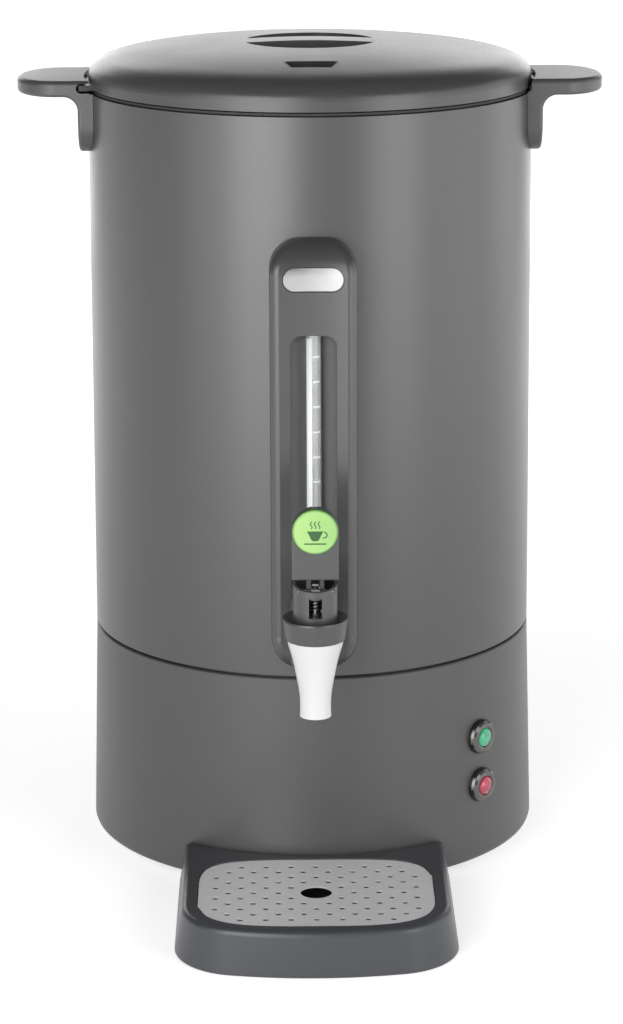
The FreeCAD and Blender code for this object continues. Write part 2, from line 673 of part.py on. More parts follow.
neck = rod_y(7.0, tap_y + 14.0, -column_face - 1, 0, tap_z).cut(dish)
flange = rod_y(14.0, -column_face - 1.5, fit_front, 0, tap_z)
tap = merge(collar, [spigot, neck])
tap = merge(tap, [flange])
tap = merge(tap, [shank])
passage = merge(rod_y(5.0, tap_y + 19.5, thread_end + 1, 0, tap_z), [
    box(-4.5, 4.5, tap_y, tap_y + 21, seat_z + 0.6, cup_floor - 1.1),
])
tap = tap.cut(passage)
tap = tap.cut(cyl(chamber_r, seat_z, collar_top + 2, 0, tap_y))
tap = tap.cut(cyl(5.0, spigot_low - 1, seat_z + 1, 0, tap_y))
tap = tap.cut(cyl(2.5, tap_z, tap_z + 12, 0, sight_y))
save("tap_body", tap)

washer = rod_y(14.0, -tank_ri - 0.5, -tank_ri + 2.4, 0, tap_z).common(cyl(tank_ri, 100, 400))
washer = washer.cut(rod_y(shank_r, -200, 0, 0, tap_z))
save("shank_washer", washer)
nut_y = -tank_ri + 2.4
shank_nut = lying(hexagon(26.0, 0, 7.0), 0, nut_y, tap_z).cut(rod_y(shank_r, -200, 0, 0, tap_z))
save("shank_nut", shank_nut)
inside_shell = spin([(shell_r_low - shell_wall, shell_low), (body_r - shell_wall, body_top), (0.0, body_top), (0.0, shell_low)])
sleeve = rod_y(14.0, -body_r - 2, -tank_ro + 3, 0, tap_z).common(inside_shell)
sleeve = sleeve.cut([cyl(tank_ro + touch, 100, 400), rod_y(shank_r + touch, -200, 0, 0, tap_z)])
save("shank_spacer", sleeve)
outer_washer = rod_y(12.9, fit_back, -body_r + 2, 0, tap_z).cut([shell_room, rod_y(shank_r + touch, -200, 0, 0, tap_z)])
save("outer_washer", outer_washer)

nozzle_low = collar_low - 46.3
nozzle_h = collar_low - nozzle_low
nozzle_pts = [
    V(16.4, 0, collar_low - touch),
    V(14.9, 0, collar_low - 0.13 * nozzle_h),
    V(13.0, 0, collar_low - 0.275 * nozzle_h),
    V(11.2, 0, collar_low - 0.465 * nozzle_h),
    V(9.5, 0, collar_low - 0.67 * nozzle_h),
    V(8.9, 0, collar_low - 0.86 * nozzle_h),
    V(9.1, 0, nozzle_low),
]
nozzle_curve = Part.BSplineCurve()
nozzle_curve.interpolate(nozzle_pts)
nozzle_wire = Part.Wire([
    nozzle_curve.toShape(),
    Part.LineSegment(nozzle_pts[-1], V(7.3, 0, nozzle_low)).toShape(),
    Part.LineSegment(V(7.3, 0, nozzle_low), V(7.3, 0, nozzle_low + 18)).toShape(),
    Part.LineSegment(V(7.3, 0, nozzle_low + 18), V(9.0, 0, spigot_low - touch)).toShape(),
    Part.LineSegment(V(9.0, 0, spigot_low - touch), V(spigot_r + touch, 0, spigot_low - touch)).toShape(),
    Part.LineSegment(V(spigot_r + touch, 0, spigot_low - touch), V(spigot_r + touch, 0, collar_low - touch)).toShape(),
    Part.LineSegment(V(spigot_r + touch, 0, collar_low - touch), nozzle_pts[0]).toShape(),
])
nozzle = Part.Face(nozzle_wire).revolve(V(0, 0, 0), V(0, 0, 1), 360)
nozzle.translate(V(0, tap_y, 0))
save("tap_nozzle", nozzle)

# Bonnet: a slotted barrel that carries the lever pivot, with the spring inside

bonnet_low = collar_top - 5.1
web_z = collar_top + 12.4
rim_z = collar_top + 20.3
bonnet = ring(barrel_r, 9.6, bonnet_low, rim_z, 0, tap_y)
bonnet = merge(bonnet, [
    ring(barrel_r - 1, 2.3, collar_top + 0.8, collar_top + 1.8, 0, tap_y),
    ring(barrel_r - 1, 2.3, web_z, web_z + 1.6, 0, tap_y),
])
bonnet = bonnet.cut([
    cyl(hub_r + touch, bonnet_low - 1, collar_top + 0.8, 0, tap_y),
    cyl(barrel_r - 1.6, web_z + 1.6, rim_z + 1, 0, tap_y),
])
slope_low = V(-20, tap_y - 20, rim_z - 3.6)
slope = Part.Face(Part.makePolygon([
    slope_low, V(-20, tap_y, rim_z), V(-20, tap_y, rim_z + 10), V(-20, tap_y - 20, rim_z + 10), slope_low,
])).extrude(V(40, 0, 0))
window = box(-3.7, 3.7, tap_y - 20, tap_y - 8, collar_top + 2.5, collar_top + 14.2)
window = window.cut(cyl(9.6, 100, 400, 0, tap_y))
pivot_back = 7.0
pivot_y = tap_y - pivot_back
pivot_z = web_z + 5.0
bonnet = bonnet.cut([slope, window, rod_x(1.0, -20, 20, pivot_y, pivot_z)])
save("tap_bonnet", bonnet)
pin_half = math.sqrt(barrel_r ** 2 - pivot_back ** 2) - 0.3
save("lever_pin", rod_x(1.0, -pin_half, pin_half, pivot_y, pivot_z))

# Lever with its round button

lever_r = 13.3
button_z = tap_z + 59.2
lever_low = tap_z + 30.6
lever_back = tap_y - 2.0
lever_front = tap_y - 9.5
blade = merge(box(-lever_r, lever_r, lever_front, lever_back, lever_low, button_z), [rod_y(lever_r, lever_front, lever_back, 0, button_z)])
blade = soften(blade, 1.4, lambda e: e.BoundBox.YLength < 0.01 and abs(e.BoundBox.YMin - lever_back) < 0.01)
blade = soften(blade, 1.0, lambda e: e.BoundBox.YLength < 0.01 and abs(e.BoundBox.YMin - lever_front) < 0.01)
cheeks = []
for x0, x1 in ((-5.0, -2.5), (2.5, 5.0)):
    cheek = merge(box(x0, x1, pivot_y - 1.6, tap_y + 2.6, pivot_z - 1.6, lever_low + 2), [
        rod_x(2.5, x0, x1, pivot_y, pivot_z),
        box(x0, x1, lever_front + 1, lever_back, lever_low - 1, lever_low + 3),
    ])
    cheek = cheek.cut(box(x0 - 1, x1 + 1, lever_back, tap_y + 5, pivot_z + 4.0, lever_low + 10))
    cheeks.append(cheek)
lever = merge(blade, cheeks)
slot = merge(box(-6, 6, tap_y - 1.6, tap_y + 0.9, pivot_z - 1.3, pivot_z + 1.3), [rod_x(1.3, -6, 6, tap_y - 1.6, pivot_z), rod_x(1.3, -6, 6, tap_y + 0.9, pivot_z)])
button_r = 13.0
lever = lever.cut([slot, rod_x(1.05, -6, 6, pivot_y, pivot_z), rod_y(button_r + 0.05, lever_front - 1, lever_front + 0.8, 0, button_z)])
save("tap_lever", lever)
button = rod_y(button_r, lever_front - 1.0, lever_front + 0.8, 0, button_z)
button = soften(button, 0.8, lambda e: abs(e.BoundBox.YMax - (lever_front - 1.0)) < 0.01)
save("lever_button", button)

# Stem, seat cup and spring

stem = merge(cyl(2.0, seat_z + 1.5, pivot_z + 1.6, 0, tap_y), [
    cyl(4.6, collar_top + 2.1, collar_top + 3.3, 0, tap_y),
    cyl(4.5, seat_z + 2.0, seat_z + 3.0, 0, tap_y),
])
stem = stem.cut(rod_x(0.9, -6, 6, tap_y, pivot_z))
save("valve_stem", stem)
save("stem_pin", rod_x(0.9, -4.9, 4.9, tap_y, pivot_z))
seat_cup = merge(cyl(6.9, seat_z + 0.05, seat_z + 4.2, 0, tap_y), [cyl(3.6, seat_z + 4.2, seat_z + 8.0, 0, tap_y)])
seat_cup = seat_cup.cut(cyl(2.0, seat_z + 1.5, seat_z + 10, 0, tap_y)).cut(cyl(4.5, seat_z + 2.0, seat_z + 3.0, 0, tap_y))
save("seat_cup", seat_cup)
spring_low = collar_top + 3.3
spring_high = web_z
coil = 0.5
coil_r = 3.7
coil_turns = 4
half_rise = (spring_high - spring_low - 2 * coil) / coil_turns / 2
coil_tilt = math.atan2(half_rise / 2, coil_r)
half_turns = []
for i in range(2 * coil_turns):
    # each half turn is half a ring, tilted so that it climbs to the next one
    side = 1 if i % 2 == 0 else -1
    low = spring_low + coil + i * half_rise
    section = Part.makeCircle(coil, V(side * coil_r, tap_y, low), V(0, side, 0))
    axis = V(side * math.sin(coil_tilt), 0, math.cos(coil_tilt))
    half_turns.append(Part.Face(Part.Wire(section)).revolve(V(0, tap_y, low + half_rise / 2), axis, 180))
save("tap_spring", merge(half_turns[0], half_turns[1:]))

# Lid: a domed moulding with two finger pockets, a steam cup and a tab on each side

lid_r = body_r - 0.5
lid_zero = body_top + 1.9
crown = lid_zero + lid_rise


def dome_edges(inset):
    # profile of the dome from the crown to the rim
    f = lid_r - inset
    top = lid_rise - inset
    pts = [
        V(0, 0, lid_zero + top),
        V(0.297 * f, 0, lid_zero + top - 1.3),
        V(0.595 * f, 0, lid_zero + top - 3.7),
        V(0.803 * f, 0, lid_zero + top - 6.8),
        V(0.907 * f, 0, lid_zero + top - 9.5),
        V(0.967 * f, 0, lid_zero + top - 13.2),
        V(0.994 * f, 0, lid_zero + top - 17.3),
        V(f, 0, lid_zero + top - 21.0),
    ]
    curve = Part.BSplineCurve()
    curve.interpolate(Points=pts, InitialTangent=V(1, 0, 0), FinalTangent=V(0, 0, -1))
    return curve.toShape(), pts[0], pts[-1]


def dome_solid(inset, low):
    curve, start, end = dome_edges(inset)
    wire = Part.Wire([
        curve,
        Part.LineSegment(end, V(end.x, 0, low)).toShape(),
        Part.LineSegment(V(end.x, 0, low), V(0, 0, low)).toShape(),
        Part.LineSegment(V(0, 0, low), start).toShape(),
    ])
    return Part.Face(wire).revolve(V(0, 0, 0), V(0, 0, 1), 360)


lid_wall = 2.6
lid_solid = dome_solid(0.0, lid_low)
lid_void = dome_solid(lid_wall, lid_low - 5)
pocket_r = 40.0
bar_half = 10.3
pocket_floor = crown - 18.0
vent_back = 0.6 * body_r
vent_front = 0.732 * body_r
liner_low = body_top - 6.1
flange_z = body_top + 3.7
plug_r = tank_ri - 2.0
lid = lid_solid.cut(lid_void)
cup = cyl(pocket_r + 2.2, pocket_floor - 2.2, crown).common(lid_solid)
lid = merge(lid, [cup])
pocket = cyl(pocket_r, pocket_floor, crown + 5)
pocket = pocket.cut(box(-60, 60, -bar_half, bar_half, pocket_floor - 1, crown + 9))
lid = lid.cut(pocket)
lid = lid.cut(box(-pocket_r + 7, pocket_r - 7, -bar_half + 2.4, bar_half - 2.4, pocket_floor - 5, crown - 5.5))
vent_wire = Part.makePolygon([
    V(-17.5, -vent_back, 0), V(-12.5, -vent_front, 0), V(12.5, -vent_front, 0), V(17.5, -vent_back, 0), V(-17.5, -vent_back, 0),
])
vent_prism = Part.Face(vent_wire).extrude(V(0, 0, crown))
vent_prism = soften(vent_prism, 3.0, lambda e: e.BoundBox.ZLength > 10)
lid = lid.cut(vent_prism)
boss_turns = (90, 210, 330)
boss_r = body_r - 35.0
lid_bosses = [turned(cyl(4.5, liner_low + 0.9, crown, boss_r, 0), t) for t in boss_turns]
lid = merge(lid, [b.common(lid_solid) for b in lid_bosses])
lid = lid.cut([turned(cyl(1.5, liner_low, liner_low + 14, boss_r, 0), t) for t in boss_turns])
tab_z = slot_z
tab_ro = body_r + 8.0
tab_half = 1.65
for t in (0, 180):
    tab = turned(sector(tab_ro, lid_r - 2.0, tab_z - tab_half, tab_z + tab_half, -3.9, 14.2), t)
    lid = merge(lid, [tab])
save("lid_shell", lid)

vent_floor = crown - 14.0
vent_cup = vent_prism.common(lid_solid).common(box(-50, 50, -200, 0, vent_floor, crown + 5))
inner_vent = Part.Face(Part.makePolygon([
    V(-16.0, -vent_back - 1.2, 0), V(-11.6, -vent_front + 1.2, 0), V(11.6, -vent_front + 1.2, 0), V(16.0, -vent_back - 1.2, 0), V(-16.0, -vent_back - 1.2, 0),
])).extrude(V(0, 0, crown + 5))
inner_vent = soften(inner_vent, 2.0, lambda e: e.BoundBox.ZLength > 10)
vent_cup = vent_cup.cut(inner_vent.common(box(-50, 50, -200, 0, vent_floor + 1.2, crown + 9)))
for i in range(3):
    x = (i - 1) * 6.5
    vent_cup = vent_cup.cut(box(x - 1.2, x + 1.2, -vent_front + 3.5, -vent_back - 3.5, vent_floor - 1, vent_floor + 3))
save("vent_cup", vent_cup)

liner_plate = spin([
    (0.0, liner_low), (plug_r, liner_low), (plug_r, flange_z), (plug_r + 12.0, flange_z), (plug_r + 12.0, flange_z + 0.9),
    (plug_r - 0.9, flange_z + 0.9), (plug_r - 0.9, liner_low + 0.9), (0.0, liner_low + 0.9),
])
liner_plate = liner_plate.cut([turned(cyl(1.9, liner_low - 1, liner_low + 2, boss_r, 0), t) for t in boss_turns])
liner_plate = liner_plate.cut(cyl(4.0, liner_low - 1, liner_low + 2, 0, -(vent_back + vent_front) / 2))
save("lid_liner", liner_plate)
lid_screws = []
for t in boss_turns:
    head = cyl(3.6, liner_low - 2.2, liner_low, boss_r, 0)
    lid_screws.append(turned(merge(head, [cyl(1.5, liner_low - 1, liner_low + 12, boss_r, 0)]), t))
save("lid_screws", Part.makeCompound(lid_screws))

seal_low_z = tank_top + touch
seal_ro = body_r - shell_wall - 0.5
seal_step = lid_low - 0.85
lid_seal = spin([
    (plug_r + 5.0, flange_z), (plug_r + 5.0, seal_low_z + 0.8), (plug_r + 6.0, seal_low_z), (seal_ro - 1.0, seal_low_z),
    (seal_ro, seal_low_z + 0.8), (seal_ro, seal_step), (plug_r + 11.4, seal_step), (plug_r + 11.4, flange_z),
])
save("lid_seal", lid_seal)

# Percolator set inside the tank: pump stem, basket and spreader

stem_foot = tank_floor - well_drop + 1.05
stem_top = body_top - 43.6
stem_r = 6.0
basket_z = body_top - 168.6
pump = spin([
    (stem_r - 1.2, stem_foot + 27.0), (well_r - 3.5, stem_foot + 2.2), (well_r - 3.5, stem_foot), (well_r - 2.0, stem_foot),
    (well_r - 2.0, stem_foot + 2.8), (stem_r + 1.0, stem_foot + 28.0), (stem_r, stem_foot + 31.0), (stem_r, basket_z - 3.0),
    (stem_r + 4.0, basket_z - 3.0), (stem_r + 4.0, basket_z), (stem_r, basket_z), (stem_r, stem_top), (stem_r - 1.2, stem_top),
])
for t in (0, 90, 180, 270):
    pump = pump.cut(turned(box(well_r - 8, well_r + 2, -2.5, 2.5, stem_foot - 1, stem_foot + 1.6), t))
save("pump_stem", pump)

basket_r = 0.63 * body_r
basket_h = 74.0
basket_low = basket_z + 0.05
sleeve_r = stem_r + 0.35
basket = spin([
    (sleeve_r, basket_low), (basket_r, basket_low), (basket_r, basket_low + basket_h - 1.0), (basket_r + 1.6, basket_low + basket_h - 1.0),
    (basket_r + 1.6, basket_low + basket_h), (basket_r - 0.8, basket_low + basket_h), (basket_r - 0.8, basket_low + 0.8),
    (sleeve_r + 1.2, basket_low + 0.8), (sleeve_r + 1.2, basket_low + basket_h - 4), (sleeve_r, basket_low + basket_h - 4),
])
holes = []
for share, count in ((0.3, 10), (0.55, 18), (0.8, 26)):
    for i in range(count):
        holes.append(turned(cyl(2.0, basket_low - 1, basket_low + 2, share * basket_r, 0), 360.0 * i / count))
basket = basket.cut(holes)
save("filter_basket", basket)

cap_z = basket_low + basket_h + 0.05
spreader_cap = spin([
    (sleeve_r, cap_z), (basket_r + 2.2, cap_z), (basket_r + 2.2, cap_z - 4.0), (basket_r + 3.0, cap_z - 4.0), (basket_r + 3.0, cap_z + 0.8),
    (sleeve_r + 9.0, cap_z + 0.8), (sleeve_r + 4.0, cap_z + 7.0), (sleeve_r, cap_z + 7.0),
])
cap_holes = []
for share, count in ((0.35, 12), (0.62, 20)):
    for i in range(count):
        cap_holes.append(turned(cyl(1.6, cap_z - 1, cap_z + 3, share * basket_r, 0), 360.0 * i / count))
spreader_cap = spreader_cap.cut(cap_holes)
save("basket_spreader", spreader_cap)

# Drip tray: arms hug the base, a tongue reaches under it

tray_gap = base_r_low + 0.9
tray_back = body_r - 40.0
tray_wall = 3.0
tray_lean = 5.0           # the flanks stand this much further in at the top
tray_lean_front = 2.0     # the same at the front
tray_bow = 44.4           # length of the curved front part
tray_corner = 40.0        # radius of the front corners, in plan
tray_foot = 0.2           # the rounded foot stands this much inside the outline
grid_w = 138.0
grid_d = 104.0
grid_square_front = 3.5
grid_square_back = 4.4
grid_y = tap_y
grid_top = tray_h - 0.55
grid_t = 1.0


def bowed(cx, cy, a, b, power, quarter):
    # points of one quarter of a squared ellipse, from the X side (quarter 0) to the middle of the Y side
    points = []
    steps = 6
    for i in range(steps + 1):
        t = 0.5 * math.pi * i / steps
        x = a * math.cos(t) ** (2.0 / power)
        y = b * math.sin(t) ** (2.0 / power)
        if quarter in (1, 2):
            x = -x
        points.append(V(cx + x, cy - y if quarter in (0, 1) else cy + y, 0))
    return points


def smooth_edge(points, start, end):
    curve = Part.BSplineCurve()
    curve.interpolate(Points=points, InitialTangent=start, FinalTangent=end)
    return curve.toShape()


def mirrored(p):
    return V(-p.x, p.y, p.z)


def tray_outline(inset_x, inset_y, z):
    # straight flanks, two corner arcs and one wide arc across the front, all tangent
    a = tray_w / 2 - inset_x
    b = tray_bow - inset_y
    r = tray_corner - inset_y
    wide = ((a - r) ** 2 + b ** 2 - r ** 2) / (2 * (b - r))
    cy = tray_bow - tray_front - tray_foot
    turn = math.atan2(a - r, wide - b)
    half = (0.5 * math.pi + turn) / 2
    join = V(wide * math.sin(turn), cy - b + wide - wide * math.cos(turn), z)
    corner = V(a - r + r * math.sin(half), cy - r * math.cos(half), z)
    flank = V(a, cy, z)
    back = V(a, -60.0, z)
    return Part.Wire([
        Part.Arc(flank, corner, join).toShape(),
        Part.Arc(join, V(0, cy - b, z), mirrored(join)).toShape(),
        Part.Arc(mirrored(join), mirrored(corner), mirrored(flank)).toShape(),
        Part.LineSegment(mirrored(flank), mirrored(back)).toShape(),
        Part.LineSegment(mirrored(back), back).toShape(),
        Part.LineSegment(back, flank).toShape(),
    ])


def grid_form(inset, z0, z1):
    a = grid_w / 2 - inset
    b = grid_d / 2 - inset
    front = bowed(0, grid_y, a, b, grid_square_front, 0) + bowed(0, grid_y, a, b, grid_square_front, 1)[-2::-1]
    rear = bowed(0, grid_y, a, b, grid_square_back, 3) + bowed(0, grid_y, a, b, grid_square_back, 2)[-2::-1]
    wire = Part.Wire([
        smooth_edge(front, V(0, -1, 0), V(0, 1, 0)),
        smooth_edge(rear[::-1], V(0, 1, 0), V(0, -1, 0)),
    ])
    wire.translate(V(0, 0, z0))
    return Part.Face(wire).extrude(V(0, 0, z1 - z0))


tray_body = Part.makeLoft([tray_outline(0.0, 0.0, 0.0), tray_outline(tray_lean, tray_lean_front, tray_h)], True, True)
tray_body = tray_body.cut(cyl(tray_gap, -1, tray_h + 1))
tray_body = soften(tray_body, 4.0, lambda e: at_z(e, tray_h))
tray_body = soften(tray_body, 1.0, lambda e: at_z(e, 0.0))
well_shape = grid_form(4.5, tray_wall, tray_h + 2)
well_walls = grid_form(2.0, -1, tray_h + 2)
seat_shape = grid_form(-0.4, grid_top - grid_t - 0.05, tray_h + 2)
skin = tray_wall + 1.2
under = Part.makeLoft([
    tray_outline(tray_wall, tray_wall, -1.0), tray_outline(tray_wall + tray_lean, tray_wall + tray_lean_front, tray_h - skin),
], True, True)
under = under.cut([cyl(tray_gap + tray_wall, -2, tray_h + 1), well_walls])
reach = box(-55, 55, -(body_r + 20), -tray_back, 0.5, 4.3)
ribs = []
for x in (-40, 0, 40):
    ribs.append(box(x - 1, x + 1, -(body_r + 20), -(tray_gap + 1), 0.6, tray_h - 2))
tray = tray_body.cut([under, well_shape, seat_shape])
ribs = [r.common(tray_body).cut([well_shape, seat_shape]) for r in ribs]
tray = merge(tray, ribs + [reach.cut(cyl(tray_back, -1, 10))])
save("drip_tray", tray)

grid = grid_form(0.0, grid_top - grid_t, grid_top)
grid = soften(grid, 0.4, lambda e: at_z(e, grid_top))
pitch_x = 14.7
pitch_y = 8.15
grid_holes = [cyl(9.3, 0, 50, 0, grid_y)]
for row in range(-5, 6):
    odd = row % 2 != 0
    count = 7 if abs(row) == 5 else (9 if odd else 8)
    for i in range(count):
        x = (i - (count - 1) / 2.0) * pitch_x
        y = row * pitch_y
        if math.hypot(x, y) > 12.5:
            grid_holes.append(cyl(2.1, 0, 50, x, grid_y + y))
grid = grid.cut(grid_holes)
save("drip_grid", grid)

# Wiring in the base


def lead(points):
    # round lead along a smooth curve
    curve = Part.BSplineCurve()
    curve.interpolate([V(*p) for p in points])
    start = curve.value(curve.FirstParameter)
    heading = curve.tangent(curve.FirstParameter)[0]
    section = Part.Wire(Part.makeCircle(wire_r, start, heading))
    return Part.Wire(curve.toShape()).makePipeShell([section], True, False)


lead_gap = 0.6
pin_y = rear_y - 27.0 - lead_gap
tab_y = rear_y - 24.0 - lead_gap
hole_z = block_z + 6.0
block_back = block_y + 18.0
in_back = block_back - 4.0
in_front = block_y + 4.0
tab_low = well_low - 17.0 - lead_gap
cut_low = spreader_z - 15.0 - lead_gap
pin_low = heat_z - 34.0 - lead_gap
pin_x = heat_r * math.cos(math.radians(heat_start))
pin_at = heat_r * math.sin(math.radians(heat_start))
lamp_c = math.cos(math.radians(lamp_turn))
lamp_s = math.sin(math.radians(lamp_turn))
hole_a = 5.75
hole_b = 17.25
inlet_to_switch = lead([
    (inlet_x + 7, pin_y, rear_z - 1.5), (inlet_x + 8, pin_y - 7, rear_z - 3), (rocker_x - 12, tab_y - 12, rear_z - 4),
    (rocker_x - 2, tab_y - 6, rear_z - 5), (rocker_x, tab_y, rear_z - 5),
])
switch_to_block = lead([
    (rocker_x, tab_y, rear_z + 5), (rocker_x, tab_y - 9, rear_z + 3), (rocker_x - 3, tab_y - 13, rear_z - 22),
    (hole_b, block_back + 7, hole_z + 5), (hole_b, block_back, hole_z), (hole_b, in_back, hole_z),
])
inlet_to_block = lead([
    (inlet_x - 7, pin_y, rear_z - 1.5), (inlet_x - 6, pin_y - 9, rear_z - 6), (inlet_x + 12, pin_y - 10, rear_z - 30),
    (hole_a, block_back + 6, hole_z + 4), (hole_a, block_back, hole_z), (hole_a, in_back, hole_z),
])
inlet_earth = lead([
    (inlet_x, pin_y, rear_z + 2.5), (inlet_x, pin_y - 4.5, rear_z + 1.0), (inlet_x - 1, pin_y - 8.5, rear_z - 10),
    (inlet_x, pin_y - 6, rear_z - 30),
    (-hole_a, block_back + 7, hole_z + 4), (-hole_a, block_back, hole_z), (-hole_a, in_back, hole_z),
])
block_to_thermostat = lead([
    (hole_b, in_front, hole_z), (hole_b, block_y, hole_z), (18, block_y - 9, hole_z + 5), (14, 30, 60),
    (8.5, 4, tab_low - 25), (7.75, 0, tab_low - 6), (7.75, 0, tab_low),
])
thermostat_to_cutout = lead([
    (-7.75, 0, tab_low), (-7.75, 0, tab_low - 5), (-14, 0, tab_low - 14), (-30, -3, tab_low - 16),
    (-48, -5.25, cut_low - 9), (cutout_x, -5.25, cut_low - 4), (cutout_x, -5.25, cut_low),
])
cutout_to_heater = lead([
    (cutout_x, 5.25, cut_low), (cutout_x, 5.25, cut_low - 5), (-48, 16, cut_low - 26), (-36, pin_at - 12, pin_low - 18),
    (pin_x - 1, pin_at, pin_low - 8), (pin_x, pin_at, pin_low),
])
heater_to_block = lead([
    (-pin_x, pin_at, pin_low), (-pin_x, pin_at, pin_low - 8), (24, 50, pin_low - 36), (10, 45, hole_z + 22),
    (hole_a, block_y - 8, hole_z + 2), (hole_a, block_y, hole_z), (hole_a, in_front, hole_z),
])
leads = [
    inlet_to_switch, switch_to_block, inlet_to_block, inlet_earth,
    block_to_thermostat, thermostat_to_cutout, cutout_to_heater, heater_to_block,
]
for z, x in zip(lamp_zs, (-hole_b, -hole_a)):
    r0 = base_r(z) - 20.0 - lead_gap
    leads.append(lead([
        (lamp_c * r0, lamp_s * r0, z), (lamp_c * (r0 - 8), lamp_s * (r0 - 8), z - 2), (50, -35 + x, 0.5 * z + 14),
        (0.3 * x + 12, 20, hole_z + 9 - 0.3 * x), (x, block_y - 9, hole_z + 1), (x, block_y, hole_z), (x, in_front, hole_z),
    ]))
save("wiring", Part.makeCompound(leads))
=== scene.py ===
import json
import math
import bmesh
import bpy
from mathutils import Matrix, Vector


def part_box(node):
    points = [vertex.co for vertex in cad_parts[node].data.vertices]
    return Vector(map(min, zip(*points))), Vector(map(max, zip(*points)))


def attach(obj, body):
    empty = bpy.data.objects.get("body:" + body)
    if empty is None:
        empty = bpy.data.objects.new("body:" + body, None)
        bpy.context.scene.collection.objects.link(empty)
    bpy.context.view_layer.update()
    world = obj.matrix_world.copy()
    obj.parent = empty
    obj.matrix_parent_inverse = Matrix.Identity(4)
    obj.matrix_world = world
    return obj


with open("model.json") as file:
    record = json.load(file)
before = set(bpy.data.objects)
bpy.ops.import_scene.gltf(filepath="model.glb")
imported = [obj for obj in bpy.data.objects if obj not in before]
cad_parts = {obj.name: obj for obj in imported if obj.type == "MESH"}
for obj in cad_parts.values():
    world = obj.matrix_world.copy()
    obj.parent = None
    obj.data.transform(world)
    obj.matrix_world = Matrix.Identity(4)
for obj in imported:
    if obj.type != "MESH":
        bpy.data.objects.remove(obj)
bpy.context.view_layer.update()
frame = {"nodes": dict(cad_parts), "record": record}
scene = bpy.context.scene
scene.view_settings.view_transform = "Standard"

# Key places on the urn, in metres: the axis is x = 0, y = AXIS_Y and the floor is z = 0
AXIS_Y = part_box("outer_shell")[0][1] * 0.5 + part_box("outer_shell")[1][1] * 0.5
SIGHT_Y = AXIS_Y - 0.148
SIGHT_R = 0.0044
TROUGH_Y = AXIS_Y - 0.156
BUTTON_Z = 0.2482

# Colours that several pieces share
GREY = (0.054, 0.0535, 0.055)
TAP_GREY = (0.050, 0.050, 0.0515)


# Node helpers

def tree_of(name):
    m = bpy.data.materials.new(name)
    m.use_nodes = True
    t = m.node_tree
    t.nodes.clear()
    out = t.nodes.new("ShaderNodeOutputMaterial")
    bsdf = t.nodes.new("ShaderNodeBsdfPrincipled")
    t.links.new(bsdf.outputs["BSDF"], out.inputs["Surface"])
    return m, t, bsdf


def coords(t, stretch=(1, 1, 1)):
    c = t.nodes.new("ShaderNodeTexCoord")
    m = t.nodes.new("ShaderNodeMapping")
    m.inputs["Scale"].default_value = stretch
    t.links.new(c.outputs["Object"], m.inputs["Vector"])
    return m.outputs["Vector"]


def split_coords(t, kind="Object"):
    """The three coordinates of a point, as the outputs X, Y and Z."""
    place = t.nodes.new("ShaderNodeTexCoord")
    split = t.nodes.new("ShaderNodeSeparateXYZ")
    t.links.new(place.outputs[kind], split.inputs[0])
    return split.outputs


def noise(t, vector, scale, detail=3.0, rough=0.55):
    n = t.nodes.new("ShaderNodeTexNoise")
    n.inputs["Scale"].default_value = scale
    n.inputs["Detail"].default_value = detail
    n.inputs["Roughness"].default_value = rough
    t.links.new(vector, n.inputs["Vector"])
    return n.outputs["Fac"]


def spread(t, value, low, high, start=0.3, end=0.7, curve="LINEAR"):
    """Low at start, high at end, and steady past them."""
    n = t.nodes.new("ShaderNodeMapRange")
    n.interpolation_type = curve
    n.inputs["From Min"].default_value = start
    n.inputs["From Max"].default_value = end
    n.inputs["To Min"].default_value = low
    n.inputs["To Max"].default_value = high
    t.links.new(value, n.inputs["Value"])
    return n.outputs["Result"]


def tint(t, fac, first, second):
    n = t.nodes.new("ShaderNodeMix")
    n.data_type = "RGBA"
    n.inputs["A"].default_value = (*first, 1)
    n.inputs["B"].default_value = (*second, 1)
    t.links.new(fac, n.inputs["Factor"])
    return n.outputs["Result"]


def math_node(t, kind, a, b=None):
    n = t.nodes.new("ShaderNodeMath")
    n.operation = kind
    for i, v in enumerate((a, b)):
        if v is None:
            continue
        if isinstance(v, (int, float)):
            n.inputs[i].default_value = v
        else:
            t.links.new(v, n.inputs[i])
    return n.outputs[0]


def length_of(t, a, b):
    """Distance of a point from the place where both coordinates are nought."""
    squares = [math_node(t, "MULTIPLY", v, v) for v in (a, b)]
    return math_node(t, "SQRT", math_node(t, "ADD", *squares))


def bump(t, height, strength, distance, before=None):
    n = t.nodes.new("ShaderNodeBump")
    n.inputs["Strength"].default_value = strength
    n.inputs["Distance"].default_value = distance
    t.links.new(height, n.inputs["Height"])
    if before is not None:
        t.links.new(before, n.inputs["Normal"])
    return n.outputs["Normal"]


def scaled(colour, k):
    return tuple(min(1.0, c * k) for c in colour)


def tones(t, b, fac, first, second, start=0.3, end=0.7):
    """Base colour that wanders between two tones."""
    t.links.new(tint(t, spread(t, fac, 0, 1, start, end), first, second), b.inputs["Base Color"])


def roughness(t, b, first, low, high, second, swing):
    """Roughness between low and high by one noise, plus or minus a swing by another."""
    both = math_node(t, "ADD", spread(t, first, low, high), spread(t, second, -swing, swing))
    t.links.new(both, b.inputs["Roughness"])


def paint_over(t, b, mask, colour):
    """Lay a second base colour over the one that is there, where the mask is 1."""
    both = t.nodes.new("ShaderNodeMix")
    both.data_type = "RGBA"
    both.inputs["B"].default_value = (*colour, 1)
    t.links.new(b.inputs["Base Color"].links[0].from_socket, both.inputs["A"])
    t.links.new(mask, both.inputs["Factor"])
    t.links.new(both.outputs["Result"], b.inputs["Base Color"])


def shader_of(m):
    return next(n for n in m.node_tree.nodes if n.bl_idname == "ShaderNodeBsdfPrincipled")


